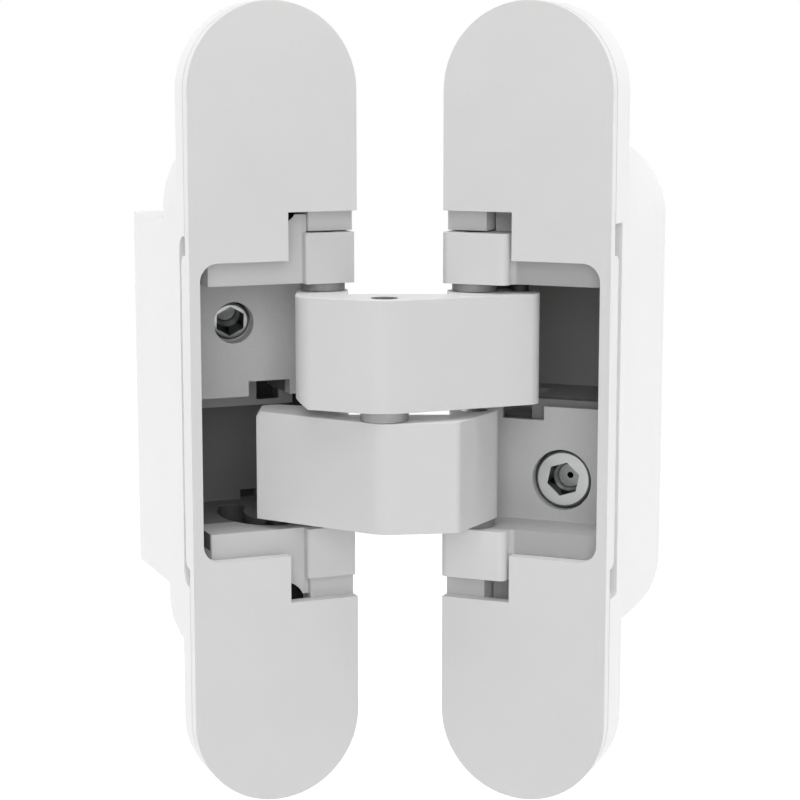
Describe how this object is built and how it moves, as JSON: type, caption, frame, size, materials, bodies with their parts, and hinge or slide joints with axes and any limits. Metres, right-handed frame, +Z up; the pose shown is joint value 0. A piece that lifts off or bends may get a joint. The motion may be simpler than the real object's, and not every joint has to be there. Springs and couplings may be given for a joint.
{
  "type": "concealed door hinge",
  "caption": "Concealed door hinge with rounded white leaves, adjustable carriers and crossing arms that fold away into the leaves' deep housings.",
  "frame": {"origin": "centre of the frame leaf's screw pattern, on the back face of its flange", "axes": "+Z up along the leaves, -Y out of the frame leaf's front, +X from the frame leaf towards the door leaf"},
  "size_m": [0.0714, 0.0489, 0.111],
  "materials": {
    "white_paint": "satin white powder coat on zinc die casting",
    "grey_washer": "grey slip washer",
    "guide_polymer": "pale polymer sleeve",
    "zinc_steel": "bright zinc plate",
    "pin_steel": "ground steel"
  },
  "bodies": {
    "frame_leaf": {"frame_housing": "white_paint", "frame_cover_plate": "white_paint", "frame_clamp_screws": "zinc_steel", "frame_arm_carrier": "white_paint", "frame_pivot_pin": "pin_steel", "frame_pivot_washer": "grey_washer", "frame_spacer_pin": "pin_steel", "frame_spacer_washer": "grey_washer"},
    "upper_link": {"upper_arm": "white_paint", "centre_pin": "pin_steel", "centre_washer": "grey_washer", "upper_guide_pin": "pin_steel", "upper_guide_sleeve": "guide_polymer"},
    "lower_link": {"lower_arm": "white_paint", "lower_guide_pin": "pin_steel", "lower_guide_sleeve": "guide_polymer"},
    "door_leaf": {"door_housing": "white_paint", "door_cover_plate": "white_paint", "door_clamp_screws": "zinc_steel", "door_arm_carrier": "white_paint", "door_pivot_pin": "pin_steel", "door_pivot_washer": "grey_washer", "door_spacer_pin": "pin_steel", "door_spacer_washer": "grey_washer"},
    "frame_screw": {"frame_adjusting_screw": "zinc_steel"},
    "door_screw": {"door_adjusting_screw": "zinc_steel"}
  },
  "joints": [
    {"name": "frame_pivot", "type": "hinge", "parent": "frame_leaf", "child": "upper_link", "pos_m": [0.00845, -0.00135, 0], "axis": [0, 0, 1], "range_deg": [-95.98, 30.87]},
    {"name": "arm_cross_pivot", "type": "hinge", "parent": "upper_link", "child": "lower_link", "pos_m": [0.01275, -0.01389, 0], "axis": [0, 0, 1], "range_deg": [-16.02, 49.76]},
    {"name": "door_pivot", "type": "hinge", "parent": "lower_link", "child": "door_leaf", "pos_m": [0.02761, -0.01019, 0], "axis": [0, 0, 1], "range_deg": [-89.98, 28.95]},
    {"name": "frame_adjusting_turn", "type": "hinge", "parent": "frame_leaf", "child": "frame_screw", "pos_m": [-0.0018, 0.009, 0.0108], "axis": [-0.13, -0.9615, -0.2419], "range_deg": [-720, 720]},
    {"name": "door_adjusting_turn", "type": "hinge", "parent": "door_leaf", "child": "door_screw", "pos_m": [0.04048, -0.01256, -0.0112], "axis": [-0.6921, -0.7218, 0], "range_deg": [-720, 720]}
  ],
  "couplings": [
    {"joint": "arm_cross_pivot", "follows": "frame_pivot", "ratio": -0.51823},
    {"joint": "door_pivot", "follows": "frame_pivot", "ratio": 0.93728}
  ]
}
